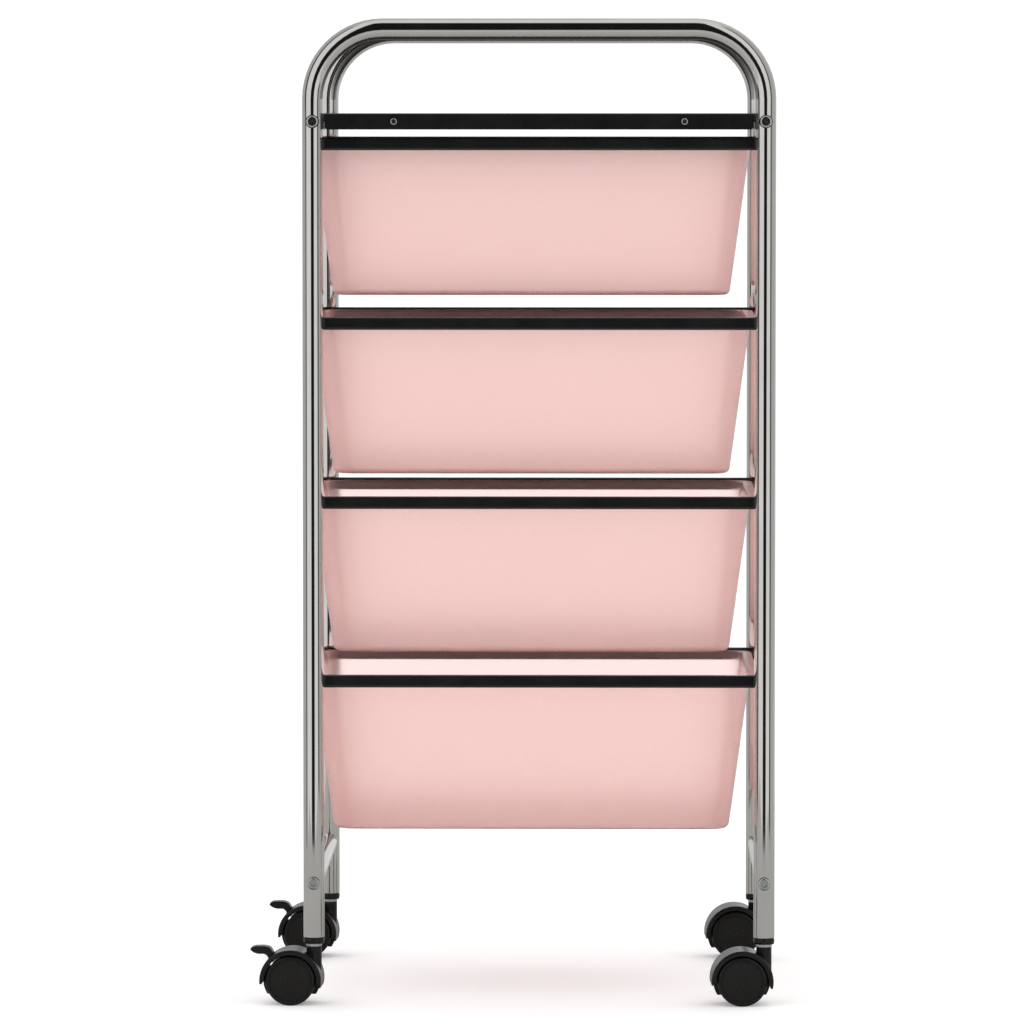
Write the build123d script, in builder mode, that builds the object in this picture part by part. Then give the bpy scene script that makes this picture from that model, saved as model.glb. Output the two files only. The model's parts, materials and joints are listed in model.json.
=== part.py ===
"""Four-drawer storage trolley on casters: two bent chrome tube frames, cross tubes, a folded
steel top shelf, black channel rails, translucent drawers and twin-wheel casters.

Millimetres. X runs across the trolley, Y from front (-Y) to back, Z up from the floor.
The pieces are modelled round the middle of the frame. save() then moves them back, because
the brake levers reach out in front, so that the origin is under the middle of the outline.
"""

from build123d import *

import os
from math import cos, radians, sin, sqrt, tan

# ---------------------------------------------------------------- overall sizes
CART_DEPTH = 380.0  # over the frame tubes, front to back
FRAME_SPACING = 303.0  # between the tube axes of the left and right frames
CART_HEIGHT = 793.5  # floor to the top of the frame tubes
HANDLE_RISE = 75.9  # the shelf's plate to the top of the frame tubes

# ---------------------------------------------------------------- frame tubes
TUBE_DIAMETER = 17.0
TUBE_WALL = 1.2
BEND_RADIUS = 56.0  # on the tube's axis
SCREW_DROP = 6.6  # the shelf's plate down to the upper frame screws
SCREW_RISE = 44.2  # the leg's end up to the lower frame screws
CUT_MARGIN = 1.0  # how far a cutting shape runs past the face it starts from

# ---------------------------------------------------------------- cross tubes and frame screws
CROSS_DIAMETER = 14.0
CROSS_WALL = 1.2
INSERT_LENGTH = 20.0
SEAT_DIAMETER = 10.8  # flat dimple pressed into the leg for the screw head
HEAD_DIAMETER = 9.6
HEAD_HEIGHT = 3.4
HEAD_ROUND = 1.4
SOCKET_ACROSS_FLATS = 5.0
SOCKET_DEPTH = 2.0
SCREW_DIAMETER = 5.0
SCREW_ENGAGEMENT = 15.0  # thread inside the cross tube's insert
HOLE_CLEARANCE = 0.15  # radial, round a screw that passes through sheet or tube wall

# ---------------------------------------------------------------- drawer rails
RAIL_LEVELS = 4
TOP_RAIL_GAP = 6.6  # the shelf's side flange down to the highest rail
LOWEST_RAIL_HEIGHT = 265.1  # floor to the top face of the lowest rail
RAIL_HEIGHT = 10.0
RAIL_DEPTH = 7.2
RAIL_SHEET = 1.2
RAIL_BEND = 2.0  # outside bend radius
RAIL_OVERHANG = 5.5  # past the leg axis at each end
RAIL_SEAT_DEPTH = 0.4  # flat pressed into the leg behind the rail
RAIL_SEAT_CLEARANCE = 0.3  # above and below the rail
RAIL_SCREW_DIAMETER = 4.0
RAIL_SCREW_HEAD = 6.0
RAIL_SCREW_LENGTH = 8.0
SCREW_SINK = 0.05  # countersunk heads sit this far below the sheet
STOP_CLEARANCE = 0.5  # between a closed drawer's rim and the stop at the back of the rail

# ---------------------------------------------------------------- drawers
DRAWER_GAP = 17.5  # a drawer's underside to the top of the rail below
DRAWER_BACK_GAP = 5.0  # back of the rim to the axes of the rear legs
DRAWER_WALL = 1.8
END_DRAFT = 7.8  # degrees
SIDE_DRAFT = 5.0  # degrees
TOP_CORNER = 24.0
BOTTOM_CORNER = 18.0
FOOT_ROUND = 5.0
RIM_WIDTH = 6.0  # rim beyond the drawer's wall
RIM_THICKNESS = 1.8
RIM_SKIRT_HEIGHT = 7.0
RIM_SKIRT_THICKNESS = 1.5
RIM_SIDE_CLEARANCE = 1.2  # rim to the rail's web
GRIP_WIDTH = 110.0
GRIP_DROP = 18.0  # below the rim's top face
GRIP_ROUND = 10.0
MOUTH_ROUND = 1.2

# ---------------------------------------------------------------- top shelf
SHELF_FLANGE_HEIGHT = 13.0
SHELF_SHEET = 1.2
SHELF_BEND = 1.8
SHELF_SIDE_INSET = 1.5  # side flanges inside the tubes' axes
SHELF_LEG_GAP = 1.0  # between the ends of the side flanges and the legs
SHELF_TUBE_GAP = 2.5  # between the corner notches and the tubes, along X
SHELF_FLANGE_CORNER = 3.0
STIFFENER_INSET = 64.9  # from the legs' axes to the stiffeners' middles
STIFFENER_WIDTH = 18.0
STIFFENER_DEPTH = 11.0
RIVET_DIAMETER = 3.2
RIVET_HEAD = 5.5
RIVET_HEAD_HEIGHT = 1.1
RIVET_HEAD_ROUND = 0.9
SHELF_SCREW_INSET = 23.0  # past the inner ends of the cross tubes' inserts
SHELF_SCREW_DIAMETER = 4.0
SHELF_SCREW_HEAD = 8.0
SHELF_SCREW_HEAD_HEIGHT = 2.4
SHELF_SCREW_LENGTH = 9.0

# ---------------------------------------------------------------- casters
WHEEL_DIAMETER = 40.0
WHEEL_WIDTH = 13.6
WHEEL_EDGE = 2.2
WHEEL_GAP = 0.5  # between a wheel and the hood's web
CASTER_TRAIL = 18.0
FRONT_CASTER_YAW = -2.5  # degrees about Z, at rest
REAR_CASTER_YAW = 2.0
AXLE_DIAMETER = 5.0
AXLE_INSET = 3.0  # axle end to the wheel's outer face
RUNNING_FIT = 0.05  # radial, between a shaft and what turns on it
WEB_THICKNESS = 6.0
HOOD_CLEARANCE = 1.2  # wheel tread to the hood
HOOD_THICKNESS = 3.8
HOOD_LIP = 1.8  # the outer layer of the hood, which ends lower than the inner one
HOOD_WIDTH = 36.0
HOOD_EDGE = 1.5
HOOD_START = -13.0  # degrees, behind the stem
HOOD_END = 186.0  # degrees, in front of the wheels
HOOD_LIP_STEP = 5.0  # degrees
WEB_FLOOR_GAP = 8.0
NECK_DIAMETER = 12.4
NECK_RISE = 1.5  # above the top of the hood
NECK_LENGTH = 22.5
STEM_DIAMETER = 8.0
STEM_FOOT_GAP = 0.6  # stem's foot to the room for the wheels
STEM_END_GAP = 0.3  # stem's foot to the bottom of its bore
STEM_REACH = 25.7  # into the leg
STEM_CHAMFER = 1.5
COLLAR_DIAMETER = 12.8
COLLAR_HEIGHT = 2.0
COLLAR_GAP = 0.5  # neck to collar
PLUG_FLANGE_INSET = 0.5  # flange's edges inside the leg's outside; its bulge is flush
PLUG_FLANGE_HEIGHT = 5.3
PLUG_DEPTH = 30.0
PLUG_FIT = 0.05  # radial, in the tube's bore

# ---------------------------------------------------------------- caster brakes
LEVER_PIVOT_ANGLE = 135.0  # degrees round the wheel, from the back
LEVER_PIN_DIAMETER = 1.6
LEVER_HUB_DIAMETER = 4.4
LEVER_HUB_GAP = 0.3  # hub to the wheels' treads
LEVER_WIDTH = 12.0
LEVER_SIDE_GAP = 0.4
LEVER_SLOT_SPAN = 28.0  # degrees round the wheel
LEVER_EDGE = 1.0
LEVER_REACH = 17.3  # pivot to the tip of the pad
# The lever's two edges, as distances from the pivot towards the back and up. They run from
# the hub to the pad's tip along the underside, and from the tip back to the hub on top.
LEVER_UNDERSIDE = ((-2.9, 1.4), (-4.1, 3.3), (-5.8, 4.3), (-9.6, 4.5), (-13.7, 5.3), (-16.3, 6.8))
LEVER_TOP = ((-16.8, 9.3), (-14.4, 10.5), (-9.6, 10.9), (-4.7, 10.7), (-1.4, 9.4), (0.4, 7.2), (1.6, 4.4))
LEVER_TIP_RISE = 8.1

# ---------------------------------------------------------------- worked-out values
tube_r = TUBE_DIAMETER / 2
bore_r = tube_r - TUBE_WALL
frame_x = FRAME_SPACING / 2
leg_y = CART_DEPTH / 2 - tube_r
tube_top_axis = CART_HEIGHT - tube_r
inner_face_x = frame_x - tube_r
shelf_top = CART_HEIGHT - HANDLE_RISE
cross_r = CROSS_DIAMETER / 2
screw_height_top = shelf_top - SCREW_DROP
seat_depth = tube_r - sqrt(tube_r**2 - (SEAT_DIAMETER / 2) ** 2)
seat_x = frame_x + tube_r - seat_depth

rail_face_x = inner_face_x + RAIL_SEAT_DEPTH
rail_web_x = rail_face_x - RAIL_SHEET
highest_rail = shelf_top - SHELF_FLANGE_HEIGHT - TOP_RAIL_GAP
rail_pitch = (highest_rail - LOWEST_RAIL_HEIGHT) / (RAIL_LEVELS - 1)
rail_tops = [highest_rail - level * rail_pitch for level in range(RAIL_LEVELS)]
rail_half = leg_y + RAIL_OVERHANG

rim_half_width = rail_web_x - RIM_SIDE_CLEARANCE
drawer_half_width = rim_half_width - RIM_WIDTH
rim_front = -CART_DEPTH / 2  # flush with the legs
rim_back = leg_y - DRAWER_BACK_GAP
drawer_middle = (rim_front + rim_back) / 2
drawer_half_length = (rim_back - rim_front) / 2 - RIM_WIDTH
rim_drop = RAIL_HEIGHT - RAIL_SHEET - RIM_SKIRT_HEIGHT  # rail top down to the rim's top face
drawer_drop = rail_pitch - DRAWER_GAP  # rail top down to the drawer's underside
drawer_height = drawer_drop - rim_drop

shelf_half_length = leg_y - tube_r - SHELF_LEG_GAP
shelf_middle_half = leg_y - cross_r
shelf_notch_x = inner_face_x - SHELF_TUBE_GAP
shelf_half_width = frame_x - SHELF_SIDE_INSET
shelf_under = shelf_top - SHELF_SHEET
shelf_screw_x = inner_face_x - INSERT_LENGTH - SHELF_SCREW_INSET

wheel_r = WHEEL_DIAMETER / 2
hood_inner_r = wheel_r + HOOD_CLEARANCE
hood_outer_r = hood_inner_r + HOOD_THICKNESS
wheel_inner_x = WEB_THICKNESS / 2 + WHEEL_GAP
wheel_outer_x = wheel_inner_x + WHEEL_WIDTH
axle_half = wheel_outer_x - AXLE_INSET
neck_top = wheel_r + hood_outer_r + NECK_RISE
collar_foot = neck_top + COLLAR_GAP
plug_foot = collar_foot + COLLAR_HEIGHT
leg_end = plug_foot + PLUG_FLANGE_HEIGHT
screw_height_bottom = leg_end + SCREW_RISE
stem_side = CASTER_TRAIL - STEM_DIAMETER / 2  # wheel axle to the near side of the stem
stem_foot = wheel_r + sqrt(hood_inner_r**2 - stem_side**2) + STEM_FOOT_GAP
# the lever's points lie in the wheel's plane: first number towards the back, second up
lever_pivot_r = wheel_r + LEVER_HUB_GAP + LEVER_HUB_DIAMETER / 2
lever_pivot = (
    lever_pivot_r * cos(radians(LEVER_PIVOT_ANGLE)),
    lever_pivot_r * sin(radians(LEVER_PIVOT_ANGLE)),
)

lever_reach = leg_y + CASTER_TRAIL - lever_pivot[0] + LEVER_REACH
outline_shift = (lever_reach - CART_DEPTH / 2) / 2

os.makedirs("parts", exist_ok=True)


def save(piece, name):
    """Moves a finished piece into the trolley's frame, names it and writes its STEP file."""
    placed_piece = piece.moved(Location((0, outline_shift, 0)))
    placed_piece.label = name
    export_step(placed_piece, f"parts/{name}.step")


# ================================================================ frames
def frame_path(x):
    """The axis of one side frame: up one leg, over the top and down the other."""
    with BuildLine(Plane.YZ.offset(x)) as path:
        FilletPolyline(
            (-leg_y, leg_end),
            (-leg_y, tube_top_axis),
            (leg_y, tube_top_axis),
            (leg_y, leg_end),
            radius=BEND_RADIUS,
        )
    return path.wire()


def swept_tube(path, radius):
    """A round bar of the given radius along a path."""
    with BuildPart() as bar:
        with BuildSketch(Plane(origin=path @ 0, z_dir=path % 0)):
            Circle(radius)
        sweep(path=path)
    return bar.part


seat_places = [(y, z) for y in (-leg_y, leg_y) for z in (screw_height_top, screw_height_bottom)]
rail_screw_places = [
    (y, rail_top - RAIL_HEIGHT / 2) for rail_top in rail_tops for y in (-leg_y, leg_y)
]
right_path = frame_path(frame_x)

# The tube's bore keeps clear of the dimples, so the wall runs on behind each one.
with BuildPart() as frame_bore:
    add(swept_tube(right_path, bore_r))
    with BuildSketch(Plane.YZ.offset(seat_x - TUBE_WALL)):
        with Locations(*seat_places):
            Circle(SEAT_DIAMETER / 2 + TUBE_WALL)
    extrude(amount=tube_r, mode=Mode.SUBTRACT)

with BuildPart() as frame_right:
    add(swept_tube(right_path, tube_r))
    add(frame_bore.part, mode=Mode.SUBTRACT)
    # screw seats and the holes through both walls
    with BuildSketch(Plane.YZ.offset(seat_x)):
        with Locations(*seat_places):
            Circle(SEAT_DIAMETER / 2)
    extrude(amount=tube_r, mode=Mode.SUBTRACT)
    with BuildSketch(Plane.YZ.offset(inner_face_x - CUT_MARGIN)):
        with Locations(*seat_places):
            Circle(SCREW_DIAMETER / 2 + HOLE_CLEARANCE)
    extrude(amount=TUBE_DIAMETER + 2 * CUT_MARGIN, mode=Mode.SUBTRACT)
    # flats for the rails on the inner side, with their screw holes
    with BuildSketch(Plane.YZ.offset(rail_face_x)):
        with Locations(*rail_screw_places):
            Rectangle(TUBE_DIAMETER, RAIL_HEIGHT + 2 * RAIL_SEAT_CLEARANCE)
    extrude(amount=-tube_r, mode=Mode.SUBTRACT)
    with BuildSketch(Plane.YZ.offset(inner_face_x)):
        with Locations(*rail_screw_places):
            Circle(RAIL_SCREW_DIAMETER / 2 + HOLE_CLEARANCE)
    extrude(amount=tube_r, mode=Mode.SUBTRACT)
save(frame_right.part, "frame_right")

with BuildPart() as frame_left:
    mirror(frame_right.part, about=Plane.YZ)
save(frame_left.part, "frame_left")

# ================================================================ cross tubes
cross_places = {
    "cross_tube_top_front": (-leg_y, screw_height_top),
    "cross_tube_top_rear": (leg_y, screw_height_top),
    "cross_tube_bottom_front": (-leg_y, screw_height_bottom),
    "cross_tube_bottom_rear": (leg_y, screw_height_bottom),
}
shelf_screw_places = [(-shelf_screw_x, screw_height_top), (shelf_screw_x, screw_height_top)]

# the top tubes take the shelf's screws on the side that faces the shelf
for cross_name, (cross_y, cross_z) in cross_places.items():
    with BuildPart() as cross_tube:
        with BuildSketch(Plane.YZ.offset(-frame_x)):
            with Locations((cross_y, cross_z)):
                Circle(cross_r)
                Circle(cross_r - CROSS_WALL, mode=Mode.SUBTRACT)
        extrude(amount=FRAME_SPACING)
        # the ends are coped to seat on the round legs
        with BuildSketch(Plane.XY.offset(cross_z - cross_r - CUT_MARGIN)):
            with Locations((-frame_x, cross_y), (frame_x, cross_y)):
                Circle(tube_r)
        extrude(amount=CROSS_DIAMETER + 2 * CUT_MARGIN, mode=Mode.SUBTRACT)
        if cross_z == screw_height_top:
            with BuildSketch(Plane.XZ.offset(-cross_y)):
                with Locations(*shelf_screw_places):
                    Circle(SHELF_SCREW_DIAMETER / 2 + HOLE_CLEARANCE)
            extrude(amount=cross_r if cross_y > 0 else -cross_r, mode=Mode.SUBTRACT)
    save(cross_tube.part, cross_name)

# Threaded steel inserts, one in each end of each cross tube.
with BuildPart() as cross_tube_inserts:
    with BuildSketch(Plane.YZ.offset(frame_x)):
        with Locations(*seat_places):
            Circle(cross_r - CROSS_WALL)
            Circle(SCREW_DIAMETER / 2, mode=Mode.SUBTRACT)
    extrude(amount=-(tube_r + INSERT_LENGTH))
    with BuildSketch(Plane.XY.offset(screw_height_bottom - cross_r)):
        with Locations((frame_x, -leg_y), (frame_x, leg_y)):
            Circle(tube_r)
    extrude(amount=screw_height_top - screw_height_bottom + CROSS_DIAMETER, mode=Mode.SUBTRACT)
    mirror(about=Plane.YZ)
save(cross_tube_inserts.part, "cross_tube_inserts")

# Pan-head screws with hex sockets: head in the dimple, thread in the insert.
with BuildPart() as frame_screws:
    with BuildSketch(Plane.YZ.offset(seat_x)):
        with Locations(*seat_places):
            Circle(HEAD_DIAMETER / 2)
    extrude(amount=HEAD_HEIGHT)
    head_rims = frame_screws.faces().group_by(Axis.X)[-1].edges()
    fillet(head_rims, radius=HEAD_ROUND)
    with BuildSketch(Plane.YZ.offset(seat_x + HEAD_HEIGHT)):
        with Locations(*seat_places):
            RegularPolygon(SOCKET_ACROSS_FLATS / 2, 6, major_radius=False, rotation=30)
    extrude(amount=-SOCKET_DEPTH, mode=Mode.SUBTRACT)
    with BuildSketch(Plane.YZ.offset(seat_x)):
        with Locations(*seat_places):
            Circle(SCREW_DIAMETER / 2)
    extrude(amount=-(seat_x - inner_face_x + SCREW_ENGAGEMENT))
    mirror(about=Plane.YZ)
save(frame_screws.part, "frame_screws")

# ================================================================ rails
stop_front = rim_back + STOP_CLEARANCE
countersink_depth = (RAIL_SCREW_HEAD - RAIL_SCREW_DIAMETER) / 2


def channel_rail(rail_top):
    """The right-hand rail of one level: a C-channel with a stop near its back end."""
    middle = rail_top - RAIL_HEIGHT / 2
    with BuildPart() as rail:
        with BuildSketch(Plane.XZ.offset(rail_half)):
            with Locations((rail_face_x - RAIL_DEPTH / 2, middle)):
                Rectangle(RAIL_DEPTH, RAIL_HEIGHT)
            with Locations((rail_web_x - RAIL_DEPTH / 2, middle)):
                Rectangle(RAIL_DEPTH, RAIL_HEIGHT - 2 * RAIL_SHEET, mode=Mode.SUBTRACT)
        extrude(amount=-2 * rail_half)
        outer_edges = rail.edges().filter_by(Axis.Y).group_by(Axis.X)[-1]
        fillet(outer_edges, radius=RAIL_BEND)
        # tab lanced from the web, which stops the closed drawer's rim
        with BuildSketch(Plane.XZ.offset(-stop_front)):
            with Locations((rail_web_x - RIM_WIDTH / 2, middle)):
                Rectangle(RIM_WIDTH, RAIL_HEIGHT - 2 * RAIL_SHEET)
        extrude(amount=-RAIL_SHEET)
        with Locations(
            Location((rail_web_x, -leg_y, middle), (0, -90, 0)),
            Location((rail_web_x, leg_y, middle), (0, -90, 0)),
        ):
            CounterSinkHole(
                RAIL_SCREW_DIAMETER / 2 + HOLE_CLEARANCE,
                RAIL_SCREW_HEAD / 2 + HOLE_CLEARANCE,
                depth=2 * RAIL_SHEET,
                counter_sink_angle=90,
            )
    return rail.part


for level, rail_top in enumerate(rail_tops, start=1):
    right_rail = channel_rail(rail_top)
    save(right_rail, f"rail_{level}_right")
    with BuildPart() as rail_left:
        mirror(right_rail, about=Plane.YZ)
    save(rail_left.part, f"rail_{level}_left")

# Countersunk self-tapping screws through the webs of the rails into the legs.
with BuildPart() as rail_screws:
    with Locations(
        *[
            Location((rail_web_x + SCREW_SINK + countersink_depth / 2, y, z), (0, 90, 0))
            for y, z in rail_screw_places
        ]
    ):
        Cone(RAIL_SCREW_HEAD / 2, RAIL_SCREW_DIAMETER / 2, countersink_depth)
    with BuildSketch(Plane.YZ.offset(rail_web_x + SCREW_SINK + countersink_depth)):
        with Locations(*rail_screw_places):
            Circle(RAIL_SCREW_DIAMETER / 2)
    extrude(amount=RAIL_SCREW_LENGTH)
    mirror(about=Plane.YZ)
save(rail_screws.part, "rail_screws")


# ================================================================ drawers
def tapered_box(height, inset, floor, foot_round):
    """The drawer's outer shape, or with an inset its cavity, from its floor up to the rim."""
    end_taper = (height - floor) * tan(radians(END_DRAFT))
    side_taper = (height - floor) * tan(radians(SIDE_DRAFT))
    top_width = 2 * (drawer_half_width - inset)
    top_length = 2 * (drawer_half_length - inset)
    with BuildPart() as box:
        with BuildSketch(Plane.XY.offset(floor)):
            with Locations((0, drawer_middle)):
                RectangleRounded(
                    top_width - 2 * side_taper, top_length - 2 * end_taper, BOTTOM_CORNER - inset
                )
        with BuildSketch(Plane.XY.offset(height)):
            with Locations((0, drawer_middle)):
                RectangleRounded(top_width, top_length, TOP_CORNER - inset)
        loft(ruled=True)
        fillet(box.faces().sort_by(Axis.Z)[0].edges(), radius=foot_round)
    return box.part


outer_box = tapered_box(drawer_height, 0, 0, FOOT_ROUND)
cavity = tapered_box(drawer_height, DRAWER_WALL, DRAWER_WALL, FOOT_ROUND - DRAWER_WALL)
rim_width = 2 * rim_half_width
rim_length = rim_back - rim_front

with BuildPart() as drawer_shape:
    add(outer_box)
    # flat rim, with a skirt turned down round its outer edge
    with BuildSketch(Plane.XY.offset(drawer_height)):
        with Locations((0, drawer_middle)):
            RectangleRounded(rim_width, rim_length, TOP_CORNER + RIM_WIDTH)
    extrude(amount=-RIM_THICKNESS)
    with BuildSketch(Plane.XY.offset(drawer_height)):
        with Locations((0, drawer_middle)):
            RectangleRounded(rim_width, rim_length, TOP_CORNER + RIM_WIDTH)
            RectangleRounded(
                rim_width - 2 * RIM_SKIRT_THICKNESS,
                rim_length - 2 * RIM_SKIRT_THICKNESS,
                TOP_CORNER + RIM_WIDTH - RIM_SKIRT_THICKNESS,
                mode=Mode.SUBTRACT,
            )
    extrude(amount=-RIM_SKIRT_HEIGHT)
    # finger grip: the skirt hangs lower in the middle of the front
    with BuildSketch(Plane.XZ.offset(-rim_front)) as grip:
        with Locations((0, drawer_height - GRIP_DROP / 2)):
            Rectangle(GRIP_WIDTH, GRIP_DROP)
        fillet(grip.vertices().group_by(Axis.Y)[0], radius=GRIP_ROUND)
    extrude(amount=-RIM_SKIRT_THICKNESS)
    add(cavity, mode=Mode.SUBTRACT)
    mouth = drawer_shape.faces().sort_by(Axis.Z)[-1].inner_wires()[0].edges()
    fillet(mouth, radius=MOUTH_ROUND)

for level, rail_top in enumerate(rail_tops, start=1):
    with BuildPart() as drawer:
        with Locations((0, 0, rail_top - drawer_drop)):
            add(drawer_shape.part)
    save(drawer.part, f"drawer_{level}")

# ================================================================ top shelf
stiffener_y = leg_y - STIFFENER_INSET
rivet_places = [(-stiffener_y, screw_height_top), (stiffener_y, screw_height_top)]

with BuildPart() as shelf_tray:
    # outer block: full width between the legs, longer between the corner notches
    with BuildSketch(Plane.XY.offset(shelf_top)):
        Rectangle(2 * shelf_half_width, 2 * shelf_half_length)
        Rectangle(2 * shelf_notch_x, 2 * shelf_middle_half)
    extrude(amount=-SHELF_FLANGE_HEIGHT)
    fillet(shelf_tray.faces().sort_by(Axis.Z)[-1].edges(), radius=SHELF_BEND)
    # hollow from below, open at the notched corners
    with BuildSketch(Plane.XY.offset(shelf_under)):
        Rectangle(2 * (shelf_half_width - SHELF_SHEET), 2 * shelf_half_length)
        Rectangle(2 * shelf_notch_x, 2 * (shelf_middle_half - SHELF_SHEET))
    extrude(amount=-SHELF_FLANGE_HEIGHT, mode=Mode.SUBTRACT)
    flange_corners = (
        shelf_tray.edges()
        .filter_by(Axis.X)
        .filter_by(lambda e: abs(e.center().X) > shelf_notch_x and e.length < 2 * SHELF_SHEET)
        .group_by(Axis.Z)[0]
    )
    fillet(flange_corners, radius=SHELF_FLANGE_CORNER)
    with BuildSketch(Plane.YZ.offset(-shelf_half_width)):
        with Locations(*rivet_places):
            Circle(RIVET_DIAMETER / 2)
    extrude(amount=2 * shelf_half_width, mode=Mode.SUBTRACT)
    with BuildSketch(Plane.XZ.offset(-shelf_middle_half)):
        with Locations(*shelf_screw_places):
            Circle(SHELF_SCREW_DIAMETER / 2 + HOLE_CLEARANCE)
    extrude(amount=2 * shelf_middle_half, mode=Mode.SUBTRACT)
save(shelf_tray.part, "shelf_tray")

# Two channels under the plate, riveted to the side flanges through their turned-down ends.
stiffener_half = shelf_half_width - SHELF_SHEET
for stiffener_name, middle_y in (
    ("shelf_stiffener_front", -stiffener_y),
    ("shelf_stiffener_rear", stiffener_y),
):
    with BuildPart() as stiffener:
        with BuildSketch(Plane.XY.offset(shelf_under)):
            with Locations((0, middle_y)):
                Rectangle(2 * stiffener_half, STIFFENER_WIDTH)
        extrude(amount=-STIFFENER_DEPTH)
        with BuildSketch(Plane.XY.offset(shelf_under - SHELF_SHEET)):
            with Locations((0, middle_y)):
                Rectangle(2 * (stiffener_half - SHELF_SHEET), STIFFENER_WIDTH - 2 * SHELF_SHEET)
        extrude(amount=-STIFFENER_DEPTH, mode=Mode.SUBTRACT)
        with BuildSketch(Plane.YZ.offset(-stiffener_half)):
            with Locations((middle_y, screw_height_top)):
                Circle(RIVET_DIAMETER / 2)
        extrude(amount=2 * stiffener_half, mode=Mode.SUBTRACT)
    save(stiffener.part, stiffener_name)

with BuildPart() as shelf_rivets:
    with BuildSketch(Plane.YZ.offset(shelf_half_width)):
        with Locations(*rivet_places):
            Circle(RIVET_HEAD / 2)
    extrude(amount=RIVET_HEAD_HEIGHT)
    fillet(shelf_rivets.faces().group_by(Axis.X)[-1].edges(), radius=RIVET_HEAD_ROUND)
    with BuildSketch(Plane.YZ.offset(shelf_half_width)):
        with Locations(*rivet_places):
            Circle(RIVET_DIAMETER / 2)
    extrude(amount=-2 * SHELF_SHEET)
    # the upset end behind the two sheets
    with BuildSketch(Plane.YZ.offset(stiffener_half - SHELF_SHEET)):
        with Locations(*rivet_places):
            Circle(RIVET_HEAD / 2)
    extrude(amount=-RIVET_HEAD_HEIGHT)
    mirror(about=Plane.YZ)
save(shelf_rivets.part, "shelf_rivets")

flange_inner_y = shelf_middle_half - SHELF_SHEET
with BuildPart() as shelf_screws:
    with BuildSketch(Plane.XZ.offset(-flange_inner_y)):
        with Locations(*shelf_screw_places):
            Circle(SHELF_SCREW_HEAD / 2)
    extrude(amount=SHELF_SCREW_HEAD_HEIGHT)
    fillet(shelf_screws.faces().group_by(Axis.Y)[0].edges(), radius=SHELF_SCREW_HEAD_HEIGHT / 2)
    with BuildSketch(Plane.XZ.offset(-flange_inner_y)):
        with Locations(*shelf_screw_places):
            Circle(SHELF_SCREW_DIAMETER / 2)
    extrude(amount=-SHELF_SCREW_LENGTH)
    mirror(about=Plane.XZ)
save(shelf_screws.part, "shelf_screws")


# ================================================================ casters
# Every caster piece is modelled once, with the swivel axis on Z and the wheels trailing
# towards -Y, and then placed under each leg.
wheel_axis = Plane(origin=(0, -CASTER_TRAIL, wheel_r), x_dir=(0, 1, 0), z_dir=(1, 0, 0))


def hood_sector(inner, outer, start, end):
    """A curved strip round the wheels, over the hood's whole width."""
    with BuildPart() as strip:
        with BuildSketch(wheel_axis.offset(-HOOD_WIDTH / 2)):
            with BuildLine():
                outer_arc = CenterArc((0, 0), outer, start, end - start)
                inner_arc = CenterArc((0, 0), inner, start, end - start)
                Line(outer_arc @ 0, inner_arc @ 0)
                Line(outer_arc @ 1, inner_arc @ 1)
            make_face()
        extrude(amount=HOOD_WIDTH)
    return strip.part


def hood_shape(with_brake):
    """Hood, central web and neck in one moulding."""
    lip_r = hood_outer_r - HOOD_LIP
    with BuildPart() as hood:
        add(hood_sector(hood_inner_r, hood_outer_r, HOOD_START + HOOD_LIP_STEP, HOOD_END - HOOD_LIP_STEP))
        add(hood_sector(lip_r, hood_outer_r, HOOD_START, HOOD_END))
        round_edges = (
            hood.edges()
            .filter_by(GeomType.CIRCLE)
            .filter_by(lambda e: abs(e.radius - hood_outer_r) < 0.01)
        )
        fillet(round_edges, radius=HOOD_EDGE)
        # web between the wheels, cut off level above the floor
        with BuildSketch(wheel_axis.offset(-WEB_THICKNESS / 2)):
            Circle(hood_inner_r + HOOD_THICKNESS / 2)
            with Locations((0, WEB_FLOOR_GAP - 2 * wheel_r)):
                Rectangle(4 * wheel_r, 2 * wheel_r, mode=Mode.SUBTRACT)
        extrude(amount=WEB_THICKNESS)
        with BuildSketch(Plane.XY.offset(neck_top)):
            Circle(NECK_DIAMETER / 2)
        extrude(amount=-NECK_LENGTH)
        # room for the wheels on both sides of the web
        for side in (-1, 1):
            with BuildSketch(wheel_axis.offset(side * WEB_THICKNESS / 2)):
                Circle(hood_inner_r)
            extrude(amount=side * HOOD_WIDTH, mode=Mode.SUBTRACT)
        with BuildSketch(wheel_axis.offset(-WEB_THICKNESS)):
            Circle(AXLE_DIAMETER / 2)
        extrude(amount=2 * WEB_THICKNESS, mode=Mode.SUBTRACT)
        with BuildSketch(Plane.XY.offset(neck_top)):
            Circle(STEM_DIAMETER / 2 + RUNNING_FIT)
        extrude(amount=stem_foot - STEM_END_GAP - neck_top, mode=Mode.SUBTRACT)
        if with_brake:
            # slot for the lever, and the bore of its pin
            slot_half = LEVER_WIDTH / 2 + LEVER_SIDE_GAP
            with BuildSketch(wheel_axis.offset(-slot_half)):
                with BuildLine():
                    slot_start = LEVER_PIVOT_ANGLE - LEVER_SLOT_SPAN / 2
                    far_arc = CenterArc((0, 0), hood_outer_r + HOOD_LIP, slot_start, LEVER_SLOT_SPAN)
                    near_arc = CenterArc((0, 0), wheel_r, slot_start, LEVER_SLOT_SPAN)
                    Line(far_arc @ 0, near_arc @ 0)
                    Line(far_arc @ 1, near_arc @ 1)
                make_face()
            extrude(amount=2 * slot_half, mode=Mode.SUBTRACT)
            with BuildSketch(wheel_axis.offset(-HOOD_WIDTH)):
                with Locations(lever_pivot):
                    Circle(LEVER_PIN_DIAMETER / 2)
            extrude(amount=2 * HOOD_WIDTH, mode=Mode.SUBTRACT)
    return hood.part


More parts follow.
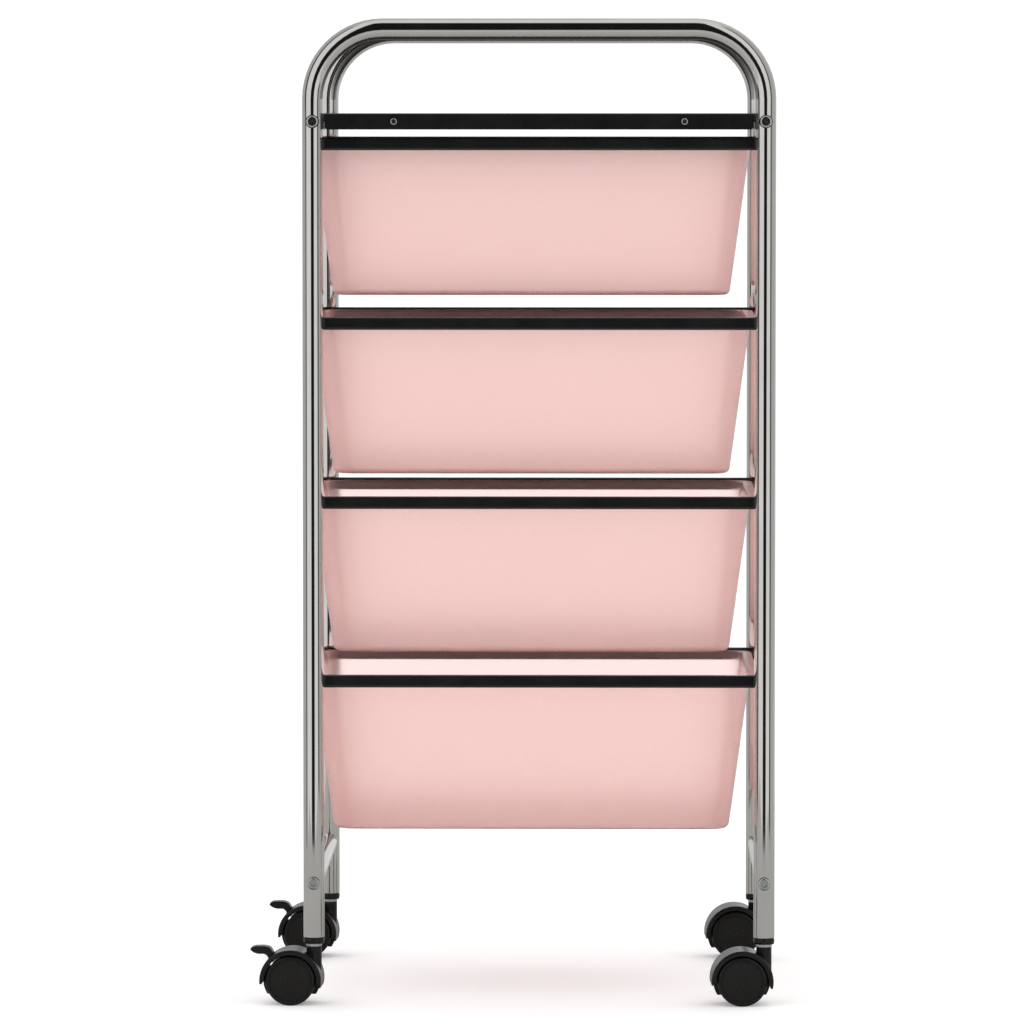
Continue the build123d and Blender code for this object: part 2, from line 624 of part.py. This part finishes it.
with BuildPart() as wheel_shape:
    with BuildSketch(wheel_axis.offset(wheel_inner_x)):
        Circle(wheel_r)
    extrude(amount=WHEEL_WIDTH)
    fillet(wheel_shape.edges().group_by(Axis.X)[-1], radius=WHEEL_EDGE)
    fillet(wheel_shape.edges().group_by(Axis.X)[0], radius=WHEEL_EDGE / 2)
    with BuildSketch(wheel_axis.offset(wheel_inner_x)):
        Circle(AXLE_DIAMETER / 2 + RUNNING_FIT)
    extrude(amount=axle_half - wheel_inner_x + RUNNING_FIT, mode=Mode.SUBTRACT)

with BuildPart() as inner_wheel_shape:
    mirror(wheel_shape.part, about=Plane.YZ)

with BuildPart() as axle_shape:
    with BuildSketch(wheel_axis.offset(-axle_half)):
        Circle(AXLE_DIAMETER / 2)
    extrude(amount=2 * axle_half)

# steel stem with its swivel collar
with BuildPart() as stem_shape:
    with BuildSketch(Plane.XY.offset(stem_foot)):
        Circle(STEM_DIAMETER / 2)
    extrude(amount=leg_end + STEM_REACH - stem_foot)
    chamfer(stem_shape.edges().group_by(Axis.Z)[-1], length=STEM_CHAMFER)
    with BuildSketch(Plane.XY.offset(collar_foot)):
        Circle(COLLAR_DIAMETER / 2)
    extrude(amount=COLLAR_HEIGHT)

# plastic socket in the end of the leg, with a bulged flange under the cut end
stem_r = STEM_DIAMETER / 2
flange_r = tube_r - PLUG_FLANGE_INSET
plug_r = bore_r - PLUG_FIT
with BuildPart() as plug_shape:
    with BuildSketch(Plane.XZ):
        with BuildLine():
            ThreePointArc(
                (flange_r, plug_foot),
                (tube_r, plug_foot + PLUG_FLANGE_HEIGHT / 2),
                (flange_r, leg_end),
            )
            Polyline(
                (flange_r, leg_end),
                (plug_r, leg_end),
                (plug_r, leg_end + PLUG_DEPTH),
                (stem_r, leg_end + PLUG_DEPTH),
                (stem_r, plug_foot),
                (flange_r, plug_foot),
            )
        make_face()
    revolve(axis=Axis.Z)

# gooseneck foot lever: a hub on the pin, a neck up through the slot and a leaf-shaped pad
hub_r = LEVER_HUB_DIAMETER / 2
lever_edge = ((-hub_r, 0), *LEVER_UNDERSIDE, (-LEVER_REACH, LEVER_TIP_RISE), *LEVER_TOP, (hub_r, 0))
with BuildPart() as lever_shape:
    with BuildSketch(wheel_axis.offset(-LEVER_WIDTH / 2)):
        with BuildLine():
            edge = Spline(*[(lever_pivot[0] + back, lever_pivot[1] + up) for back, up in lever_edge])
            Line(edge @ 1, edge @ 0)
        make_face()
        with Locations(lever_pivot):
            Circle(hub_r)
    extrude(amount=LEVER_WIDTH)
    fillet(lever_shape.edges().group_by(Axis.X)[0], radius=LEVER_EDGE)
    fillet(lever_shape.edges().group_by(Axis.X)[-1], radius=LEVER_EDGE)
    with BuildSketch(wheel_axis.offset(-LEVER_WIDTH)):
        with Locations(lever_pivot):
            Circle(LEVER_PIN_DIAMETER / 2 + RUNNING_FIT)
    extrude(amount=2 * LEVER_WIDTH, mode=Mode.SUBTRACT)

with BuildPart() as lever_pin_shape:
    with BuildSketch(wheel_axis.offset(-(HOOD_WIDTH / 2 - HOOD_EDGE))):
        with Locations(lever_pivot):
            Circle(LEVER_PIN_DIAMETER / 2)
    extrude(amount=HOOD_WIDTH - 2 * HOOD_EDGE)

caster_places = {
    "front_left": ((-frame_x, -leg_y, 0), FRONT_CASTER_YAW, True),
    "front_right": ((frame_x, -leg_y, 0), FRONT_CASTER_YAW, True),
    "rear_left": ((-frame_x, leg_y, 0), REAR_CASTER_YAW, False),
    "rear_right": ((frame_x, leg_y, 0), REAR_CASTER_YAW, False),
}
plain_hood = hood_shape(with_brake=False)
braked_hood = hood_shape(with_brake=True)

for corner, (place, yaw, braked) in caster_places.items():
    pieces = {
        f"tube_plug_{corner}": plug_shape.part,
        f"caster_stem_{corner}": stem_shape.part,
        f"caster_hood_{corner}": braked_hood if braked else plain_hood,
        f"caster_axle_{corner}": axle_shape.part,
        f"wheel_{corner}_right": wheel_shape.part,
        f"wheel_{corner}_left": inner_wheel_shape.part,
    }
    if braked:
        pieces[f"brake_lever_{corner}"] = lever_shape.part
        pieces[f"brake_pin_{corner}"] = lever_pin_shape.part
    for piece_name, piece_shape in pieces.items():
        with BuildPart() as placed:
            with Locations(Location(place, (0, 0, yaw))):
                add(piece_shape)
        save(placed.part, piece_name)
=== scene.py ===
import json
import math

import bmesh
import bpy
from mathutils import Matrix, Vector


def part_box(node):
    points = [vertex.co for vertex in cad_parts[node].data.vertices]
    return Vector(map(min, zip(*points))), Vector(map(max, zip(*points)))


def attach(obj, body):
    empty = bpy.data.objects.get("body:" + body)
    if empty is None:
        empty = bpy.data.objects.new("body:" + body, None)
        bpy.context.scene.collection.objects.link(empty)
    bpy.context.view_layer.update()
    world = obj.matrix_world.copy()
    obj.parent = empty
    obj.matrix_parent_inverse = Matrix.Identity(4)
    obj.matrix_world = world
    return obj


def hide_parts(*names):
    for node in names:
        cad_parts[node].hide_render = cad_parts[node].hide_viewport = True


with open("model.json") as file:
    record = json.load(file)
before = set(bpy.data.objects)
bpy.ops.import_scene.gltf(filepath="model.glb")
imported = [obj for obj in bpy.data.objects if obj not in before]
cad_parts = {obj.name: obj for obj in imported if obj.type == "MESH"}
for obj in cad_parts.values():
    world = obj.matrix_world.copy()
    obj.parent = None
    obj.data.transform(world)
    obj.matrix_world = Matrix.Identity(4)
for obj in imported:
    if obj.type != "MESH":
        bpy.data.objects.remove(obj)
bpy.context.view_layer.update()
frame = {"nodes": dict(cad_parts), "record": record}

MM = 0.001
nodes = frame["nodes"]

# the side frame nearest to the camera
frame_low, frame_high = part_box("frame_right")
frame_middle_x = (frame_low.x + frame_high.x) / 2
frame_middle_y = (frame_low.y + frame_high.y) / 2


# ================================================================ materials
def linear(hex_colour):
    """An sRGB hex colour as linear RGBA."""
    channels = [int(hex_colour[i:i + 2], 16) / 255 for i in (0, 2, 4)]
    levels = [c / 12.92 if c <= 0.04045 else ((c + 0.055) / 1.055) ** 2.4 for c in channels]
    return (*levels, 1.0)


def grey(level):
    """A plain light level as linear RGBA, which may be brighter than white."""
    return (level, level, level, 1.0)


def add(tree, kind, inputs=None, **settings):
    """Adds a node, sets its properties, and fills or links its inputs."""
    made = tree.nodes.new(kind)
    for name, value in settings.items():
        setattr(made, name, value)
    for socket, value in (inputs or {}).items():
        if isinstance(value, bpy.types.NodeSocket):
            tree.links.new(value, made.inputs[socket])
        else:
            made.inputs[socket].default_value = value
    return made


def per(size_mm):
    """Texture scale that gives a pattern of this size, in millimetres."""
    return 1.0 / (size_mm * MM)


def new_material(name):
    """An empty node material, its tree and its object coordinates."""
    material = bpy.data.materials.new(name)
    material.use_nodes = True
    tree = material.node_tree
    tree.nodes.clear()
    coords = add(tree, "ShaderNodeTexCoord").outputs["Object"]
    return material, tree, coords


def output(tree, shader):
    """Shows a shader on the material's surface."""
    add(tree, "ShaderNodeOutputMaterial", {"Surface": shader.outputs["BSDF"]})


def chrome_plate():
    """Polished chrome over drawn steel tube: mirror bright, with faint wiping marks."""
    material, tree, coords = new_material("polished_chrome_plate")
    # hand marks of 30 mm, and upright polishing lines drawn 0.8 mm wide so that they show at all
    smudge = add(
        tree, "ShaderNodeTexNoise",
        {"Vector": coords, "Scale": per(30.0), "Detail": 4.0, "Roughness": 0.6},
    )
    along = add(tree, "ShaderNodeMapping", {"Vector": coords, "Scale": (1.0, 1.0, 0.05)})
    lines = add(
        tree, "ShaderNodeTexNoise",
        {"Vector": along.outputs["Vector"], "Scale": per(0.8), "Detail": 2.0},
    )
    marks = add(
        tree, "ShaderNodeMath",
        {0: smudge.outputs["Fac"], 1: lines.outputs["Fac"]},
        operation="MULTIPLY",
    )
    roughness = add(
        tree, "ShaderNodeMapRange",
        {
            "Value": marks.outputs["Value"],
            "From Min": 0.1, "From Max": 0.5,
            "To Min": 0.035, "To Max": 0.11,
        },
    )
    tone = add(
        tree, "ShaderNodeMix",
        {"Factor": smudge.outputs["Fac"], "A": linear("cfccc8"), "B": linear("d9d8d6")},
        data_type="RGBA",
    )
    bump = add(
        tree, "ShaderNodeBump",
        {"Height": lines.outputs["Fac"], "Strength": 0.015, "Distance": 0.05 * MM},
    )
    shader = add(
        tree, "ShaderNodeBsdfPrincipled",
        {
            "Base Color": tone.outputs["Result"],
            "Metallic": 1.0,
            "Roughness": roughness.outputs["Result"],
            "Normal": bump.outputs["Normal"],
        },
    )
    output(tree, shader)
    return material


def black_powder_coat():
    """Satin black powder coat on folded sheet: near black with a soft sheen and orange peel."""
    material, tree, coords = new_material("satin_black_powder_coat")
    # orange peel of about 1.5 mm, and dust and rub marks of about 25 mm
    peel = add(tree, "ShaderNodeTexNoise", {"Vector": coords, "Scale": per(1.5), "Detail": 2.0})
    rub = add(
        tree, "ShaderNodeTexNoise",
        {"Vector": coords, "Scale": per(25.0), "Detail": 5.0, "Roughness": 0.65},
    )
    tone = add(
        tree, "ShaderNodeMix",
        {"Factor": rub.outputs["Fac"], "A": linear("0f0e0e"), "B": linear("1a1919")},
        data_type="RGBA",
    )
    roughness = add(
        tree, "ShaderNodeMapRange",
        {
            "Value": rub.outputs["Fac"],
            "From Min": 0.3, "From Max": 0.7,
            "To Min": 0.17, "To Max": 0.27,
        },
    )
    bump = add(
        tree, "ShaderNodeBump",
        {"Height": peel.outputs["Fac"], "Strength": 0.06, "Distance": 0.1 * MM},
    )
    shader = add(
        tree, "ShaderNodeBsdfPrincipled",
        {
            "Base Color": tone.outputs["Result"],
            "Roughness": roughness.outputs["Result"],
            "IOR": 1.5,
            "Normal": bump.outputs["Normal"],
        },
    )
    output(tree, shader)
    return material


PIGMENT = "f9866f"  # what a deep stretch of the wall lets through
PIGMENT_DENSITY = 150.0  # per metre of wall


def frosted_pink_plastic():
    """Injection-moulded translucent polypropylene: milky pink, light passes and blurs."""
    material, tree, coords = new_material("moulded_frosted_polypropylene")
    # flow clouds of about 60 mm and a fine mould texture of about 0.6 mm
    clouds = add(
        tree, "ShaderNodeTexNoise",
        {"Vector": coords, "Scale": per(60.0), "Detail": 3.0, "Roughness": 0.5},
    )
    grain = add(tree, "ShaderNodeTexNoise", {"Vector": coords, "Scale": per(0.6), "Detail": 2.0})
    tone = add(
        tree, "ShaderNodeMix",
        {"Factor": clouds.outputs["Fac"], "A": linear("fdfbfa"), "B": linear("fefdfc")},
        data_type="RGBA",
    )
    roughness = add(
        tree, "ShaderNodeMapRange",
        {
            "Value": grain.outputs["Fac"],
            "From Min": 0.3, "From Max": 0.7,
            "To Min": 0.26, "To Max": 0.34,
        },
    )
    bump = add(
        tree, "ShaderNodeBump",
        {"Height": grain.outputs["Fac"], "Strength": 0.08, "Distance": 0.05 * MM},
    )
    shader = add(
        tree, "ShaderNodeBsdfPrincipled",
        {
            "Base Color": tone.outputs["Result"],
            "Roughness": roughness.outputs["Result"],
            "IOR": 1.49,
            "Transmission Weight": 0.94,
            "Coat Weight": 0.2,
            "Coat Roughness": 0.15,
            "Normal": bump.outputs["Normal"],
        },
    )
    # the pigment is all through the wall, so thick and edge-on places are deeper pink
    pigment = add(
        tree, "ShaderNodeVolumeAbsorption",
        {"Color": linear(PIGMENT), "Density": PIGMENT_DENSITY},
    )
    add(
        tree, "ShaderNodeOutputMaterial",
        {"Surface": shader.outputs["BSDF"], "Volume": pigment.outputs["Volume"]},
    )
    return material


def black_moulded_nylon():
    """Moulded black nylon of wheels, hoods, levers and tube plugs: dark with a grey sheen."""
    material, tree, coords = new_material("moulded_black_nylon")
    # spark-eroded grain of about 0.7 mm, and scuffs of about 12 mm
    grain = add(tree, "ShaderNodeTexNoise", {"Vector": coords, "Scale": per(0.7), "Detail": 3.0})
    scuff = add(
        tree, "ShaderNodeTexNoise",
        {"Vector": coords, "Scale": per(12.0), "Detail": 5.0, "Roughness": 0.7},
    )
    tone = add(
        tree, "ShaderNodeMix",
        {"Factor": scuff.outputs["Fac"], "A": linear("100f0e"), "B": linear("1a1918")},
        data_type="RGBA",
    )
    roughness = add(
        tree, "ShaderNodeMapRange",
        {
            "Value": scuff.outputs["Fac"],
            "From Min": 0.3, "From Max": 0.7,
            "To Min": 0.19, "To Max": 0.29,
        },
    )
    bump = add(
        tree, "ShaderNodeBump",
        {"Height": grain.outputs["Fac"], "Strength": 0.12, "Distance": 0.06 * MM},
    )
    shader = add(
        tree, "ShaderNodeBsdfPrincipled",
        {
            "Base Color": tone.outputs["Result"],
            "Roughness": roughness.outputs["Result"],
            "IOR": 1.53,
            "Specular IOR Level": 0.25,
            "Normal": bump.outputs["Normal"],
        },
    )
    output(tree, shader)
    return material


def bright_zinc():
    """Bright zinc plate on screws, stems and rivets: bluish grey with a mottled sheen."""
    material, tree, coords = new_material("bright_zinc_plate")
    # spangles of about 1 mm, and mottling of about 2 mm
    spangle = add(tree, "ShaderNodeTexVoronoi", {"Vector": coords, "Scale": per(1.0)})
    mottle = add(tree, "ShaderNodeTexNoise", {"Vector": coords, "Scale": per(2.0), "Detail": 4.0})
    tone = add(
        tree, "ShaderNodeMix",
        {"Factor": mottle.outputs["Fac"], "A": linear("b4b9ba"), "B": linear("d4d7d6")},
        data_type="RGBA",
    )
    roughness = add(
        tree, "ShaderNodeMapRange",
        {
            "Value": spangle.outputs["Distance"],
            "From Min": 0.0, "From Max": 0.8,
            "To Min": 0.1, "To Max": 0.2,
        },
    )
    shader = add(
        tree, "ShaderNodeBsdfPrincipled",
        {
            "Base Color": tone.outputs["Result"],
            "Metallic": 1.0,
            "Roughness": roughness.outputs["Result"],
        },
    )
    output(tree, shader)
    return material


def blackened_pin():
    """Black oxide on the brake pins' drawn steel: dark grey with an oily sheen, worn in spots."""
    material, tree, coords = new_material("black_oxide_steel")
    # worn spots of about 1.1 mm
    wear = add(
        tree, "ShaderNodeTexNoise",
        {"Vector": coords, "Scale": per(1.1), "Detail": 4.0, "Roughness": 0.6},
    )
    tone = add(
        tree, "ShaderNodeMix",
        {"Factor": wear.outputs["Fac"], "A": linear("1c1b1a"), "B": linear("3a3938")},
        data_type="RGBA",
    )
    roughness = add(
        tree, "ShaderNodeMapRange",
        {
            "Value": wear.outputs["Fac"],
            "From Min": 0.3, "From Max": 0.7,
            "To Min": 0.45, "To Max": 0.3,
        },
    )
    shader = add(
        tree, "ShaderNodeBsdfPrincipled",
        {"Base Color": tone.outputs["Result"], "Metallic": 0.6, "Roughness": roughness.outputs["Result"]},
    )
    output(tree, shader)
    return material


chrome = chrome_plate()
powder_coat = black_powder_coat()
pink_plastic = frosted_pink_plastic()
black_nylon = black_moulded_nylon()
zinc = bright_zinc()
black_oxide = blackened_pin()

finish_of_slot = {
    "chrome_tube": chrome,
    "black_paint": powder_coat,
    "pink_plastic": pink_plastic,
    "black_plastic": black_nylon,
    "wheel_plastic": black_nylon,
    "zinc_steel": zinc,
    "black_steel": black_oxide,
}
for part in frame["record"]["subparts"]:
    materials = nodes[part["node"]].data.materials
    materials.clear()
    materials.append(finish_of_slot[part["material_slot"]])


# ================================================================ wheels
FACE_DISH = 0.5 * MM  # the middle of the outer face lies this far in
AXLE_CAP_RADIUS = 3.2 * MM
AXLE_CAP_DEPTH = 0.35 * MM  # below the dish
RIM_WIDTH = 2.8 * MM  # flat rim outside the ring groove
GROOVE_WIDTH = 0.9 * MM
GROOVE_DEPTH = 0.4 * MM
TREAD_ROUND = 1.6 * MM
TREAD_SEGMENTS = 5
WHEEL_STEPS = 72
MERGE_DISTANCE = 0.01 * MM
SMOOTH_ANGLE = math.radians(35)


def wheel_section(radius, width):
    """Half section of a wheel, as (radius, depth in from the outer face), from hub to hub."""
    groove = radius - RIM_WIDTH
    return (
        (0.0, FACE_DISH + AXLE_CAP_DEPTH),
        (AXLE_CAP_RADIUS, FACE_DISH + AXLE_CAP_DEPTH),
        (AXLE_CAP_RADIUS + AXLE_CAP_DEPTH, FACE_DISH),
        (groove - GROOVE_WIDTH - GROOVE_DEPTH, 0.0),
        (groove - GROOVE_WIDTH, GROOVE_DEPTH),
        (groove, GROOVE_DEPTH),
        (groove + GROOVE_DEPTH, 0.0),
        (radius, 0.0),
        (radius, width),
        (0.0, width),
    )


def is_tread_corner(edge, centre, axis, radius):
    """Whether an edge runs round the wheel at its full radius, where the tread meets a face."""
    along = [(vertex.co - centre).dot(axis) for vertex in edge.verts]
    out = [(vertex.co - centre - axis * reach).length for vertex, reach in zip(edge.verts, along)]
    return min(out) > radius - MERGE_DISTANCE and abs(along[0] - along[1]) < MERGE_DISTANCE


def moulded_wheel(joint):
    """One wheel on its joint's axis: a dished face with a ring groove, and a rounded tread."""
    node = joint["child"].removesuffix("_body")
    centre = Vector(joint["pos_m"])
    axis = Vector(joint["axis"]).normalized()
    low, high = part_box(node)
    radius = (high.z - low.z) / 2
    reach = [(vertex.co - centre).dot(axis) for vertex in nodes[node].data.vertices]
    inner, outer = sorted((min(reach), max(reach)), key=abs)
    inward = axis * math.copysign(1.0, inner - outer)
    start = centre + axis * outer
    up = Vector((0.0, 0.0, 1.0))
    shape = bmesh.new()
    section = [
        shape.verts.new(start + up * out + inward * depth)
        for out, depth in wheel_section(radius, abs(outer - inner))
    ]
    lines = [shape.edges.new(pair) for pair in zip(section, section[1:])]
    bmesh.ops.spin(
        shape, geom=section + lines, cent=centre, axis=axis, dvec=(0.0, 0.0, 0.0),
        angle=2 * math.pi, steps=WHEEL_STEPS, use_merge=True,
    )
    bmesh.ops.remove_doubles(shape, verts=shape.verts, dist=MERGE_DISTANCE)
    corners = [edge for edge in shape.edges if is_tread_corner(edge, centre, axis, radius)]
    bmesh.ops.bevel(
        shape, geom=corners, offset=TREAD_ROUND, affect="EDGES",
        segments=TREAD_SEGMENTS, profile=0.5, material=-1,
    )
    bmesh.ops.recalc_face_normals(shape, faces=shape.faces)
    mesh = bpy.data.meshes.new(node + "_moulded")
    shape.to_mesh(mesh)
    shape.free()
    mesh.polygons.foreach_set("use_smooth", [True] * len(mesh.polygons))
    mesh.set_sharp_from_angle(angle=SMOOTH_ANGLE)
    mesh.materials.append(black_nylon)
    wheel = bpy.data.objects.new(node + "_moulded", mesh)
    bpy.context.scene.collection.objects.link(wheel)
    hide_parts(node)
    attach(wheel, joint["child"])


for joint in frame["record"]["behaviour"]["joints"]:
    if joint["name"].endswith("_spin"):
        moulded_wheel(joint)


# ================================================================ floor, light and camera
def mirror_rays(tree):
    """1 for what a shiny surface mirrors, and 0 for what is seen directly or through plastic."""
    ray = add(tree, "ShaderNodeLightPath")
    outside = add(
        tree, "ShaderNodeMath",
        {0: 1.0, 1: ray.outputs["Is Transmission Ray"]},
        operation="SUBTRACT",
    )
    mirrored = add(
        tree, "ShaderNodeMath",
        {0: ray.outputs["Is Glossy Ray"], 1: outside.outputs["Value"]},
        operation="MULTIPLY",
    )
    return mirrored.outputs["Value"]


FLOOR_REACH = 1.3  # half the floor's side; beyond it the white studio is seen
FLOOR_GLOW = 0.2  # a lit white table, so shadows on it are slight
FLOOR_PAINTED_REFLECTION = "b4b4b2"  # painted reflection: shiny metal mirrors the floor in this grey, darker than the floor looks when seen directly


def pale_floor():
    """A wide pale floor, level with the lowest point of the wheels."""
    shape = bmesh.new()
    bmesh.ops.create_grid(shape, x_segments=1, y_segments=1, size=FLOOR_REACH)
    mesh = bpy.data.meshes.new("floor")
    shape.to_mesh(mesh)
    shape.free()
    floor = bpy.data.objects.new("floor", mesh)
    bpy.context.scene.collection.objects.link(floor)
    material, tree, coords = new_material("matt_white_floor")
    # faint cloudy patches of about a third of a metre
    patch = add(tree, "ShaderNodeTexNoise", {"Vector": coords, "Scale": per(330.0), "Detail": 2.0})
    tone = add(
        tree, "ShaderNodeMix",
        {"Factor": patch.outputs["Fac"], "A": linear("fbfbfb"), "B": linear("fdfdfd")},
        data_type="RGBA",
    )
    # painted reflection: where shiny metal mirrors the floor, its colour is swapped for a darker grey
    mirrored = mirror_rays(tree)
    seen = add(
        tree, "ShaderNodeMix",
        {"Factor": mirrored, "A": tone.outputs["Result"], "B": linear(FLOOR_PAINTED_REFLECTION)},
        data_type="RGBA",
    )
    glow = add(
        tree, "ShaderNodeMapRange",
        {
            "Value": mirrored,
            "From Min": 0.0, "From Max": 1.0,
            "To Min": FLOOR_GLOW, "To Max": 0.0,
        },
    )
    shader = add(
        tree, "ShaderNodeBsdfPrincipled",
        {
            "Base Color": seen.outputs["Result"],
            "Roughness": 0.8,
            "Emission Color": linear("ffffff"),
            "Emission Strength": glow.outputs["Result"],
        },
    )
    output(tree, shader)
    mesh.materials.append(material)


# Light panels of the studio, as (turn, level): turn is the share of half a circle round Z, from
# behind the camera to straight ahead of it, and level is how bright it is there.
STUDIO_PANELS = (
    (0.0, 0.010), (0.085, 0.012),  # the dark doorway behind the camera
    (0.105, 0.88), (0.27, 0.90), (0.33, 0.82), (0.350, 0.70),  # the large panel at each side
    (0.362, 0.02), (0.428, 0.02),  # a dark gap
    (0.442, 0.48), (0.75, 0.55), (1.0, 0.75),  # the far wall
)
PANEL_SPREAD = 1.02  # the panels stand nearer to the camera's line on the right than on the left
PANEL_LEAN = 0.15
OVERHEAD_LIGHT = (0.85, 0.85, 0.84, 1.0)
OVERHEAD_START = 0.90  # heights of a direction of length 1: 64 and 72 degrees up
OVERHEAD_FULL = 0.95
GROUND_LIGHT = (0.60, 0.60, 0.59, 1.0)
GROUND_START = -0.17  # 10 and 16 degrees under the horizon
GROUND_FULL = -0.27
STUDIO_WHITE = 1.12
WHITE_THROUGH_PLASTIC = 1.22


def studio_light():
    """A white studio: bright all round, with darker gaps between its panels in reflections."""
    world = bpy.data.worlds.new("studio")
    world.use_nodes = True
    tree = world.node_tree
    tree.nodes.clear()
    outwards = add(tree, "ShaderNodeTexCoord").outputs["Generated"]
    direction = add(tree, "ShaderNodeSeparateXYZ", {"Vector": outwards})
    turn = add(
        tree, "ShaderNodeMath",
        {0: direction.outputs["Y"], 1: direction.outputs["X"]},
        operation="ARCTAN2",
    )
    spread = add(tree, "ShaderNodeMath", {0: turn.outputs["Value"]}, operation="ABSOLUTE")
    share = add(tree, "ShaderNodeMath", {0: spread.outputs["Value"], 1: math.pi}, operation="DIVIDE")
    side = add(tree, "ShaderNodeMath", {0: direction.outputs["Y"]}, operation="SIGN")
    stretch = add(
        tree, "ShaderNodeMath",
        {0: side.outputs["Value"], 1: PANEL_LEAN, 2: PANEL_SPREAD},
        operation="MULTIPLY_ADD",
    )
    leaning = add(
        tree, "ShaderNodeMath",
        {0: share.outputs["Value"], 1: stretch.outputs["Value"]},
        operation="MULTIPLY",
    )
    panels = add(tree, "ShaderNodeValToRGB", {"Fac": leaning.outputs["Value"]})
    stops = panels.color_ramp.elements
    # a new ramp already has its stops at 0 and 1
    for turned, _ in STUDIO_PANELS[1:-1]:
        stops.new(turned)
    for stop, (_, level) in zip(stops, STUDIO_PANELS):
        stop.color = grey(level)
    # a panel overhead, and the studio's own floor
    room = panels.outputs["Color"]
    for start, full, seen in (
        (OVERHEAD_START, OVERHEAD_FULL, OVERHEAD_LIGHT),
        (GROUND_START, GROUND_FULL, GROUND_LIGHT),
    ):
        share_seen = add(
            tree, "ShaderNodeMapRange",
            {
                "Value": direction.outputs["Z"],
                "From Min": start, "From Max": full,
                "To Min": 0.0, "To Max": 1.0,
            },
        )
        mixed = add(
            tree, "ShaderNodeMix",
            {"Factor": share_seen.outputs["Result"], "A": room, "B": seen},
            data_type="RGBA",
        )
        room = mixed.outputs["Result"]
    # plain white for everything that isn't mirrored, and a little brighter through the plastic
    ray = add(tree, "ShaderNodeLightPath")
    through = add(
        tree, "ShaderNodeMix",
        {
            "Factor": ray.outputs["Is Transmission Ray"],
            "A": grey(STUDIO_WHITE),
            "B": grey(WHITE_THROUGH_PLASTIC),
        },
        data_type="RGBA",
    )
    light = add(
        tree, "ShaderNodeMix",
        {"Factor": mirror_rays(tree), "A": through.outputs["Result"], "B": room},
        data_type="RGBA",
    )
    background = add(tree, "ShaderNodeBackground", {"Color": light.outputs["Result"], "Strength": 1.0})
    add(tree, "ShaderNodeOutputWorld", {"Surface": background.outputs["Background"]})
    bpy.context.scene.world = world


CAMERA_DISTANCE = 5.308  # from the side frame
CAMERA_HEIGHT = 0.719
CAMERA_TO_REAR = 0.0554
AIM_HEIGHT = 0.3977
AIM_TO_FRONT = 0.0217
LENS_LENGTH = 232.6  # millimetres, on a 36 mm sensor
SENSOR_WIDTH = 36.0


def side_camera():
    """A long lens at the shelf's height, square to the trolley's right side."""
    place = Vector((frame_middle_x + CAMERA_DISTANCE, frame_middle_y + CAMERA_TO_REAR, CAMERA_HEIGHT))
    target = Vector((frame_middle_x, frame_middle_y - AIM_TO_FRONT, AIM_HEIGHT))
    data = bpy.data.cameras.new("camera")
    data.lens = LENS_LENGTH
    data.sensor_width = SENSOR_WIDTH
    made = bpy.data.objects.new("camera", data)
    made.rotation_mode = "QUATERNION"
    made.location = place
    made.rotation_quaternion = (target - place).to_track_quat("-Z", "Y")
    bpy.context.scene.collection.objects.link(made)
    bpy.context.scene.camera = made


pale_floor()
studio_light()
side_camera()
bpy.context.scene.view_settings.view_transform = "Standard"
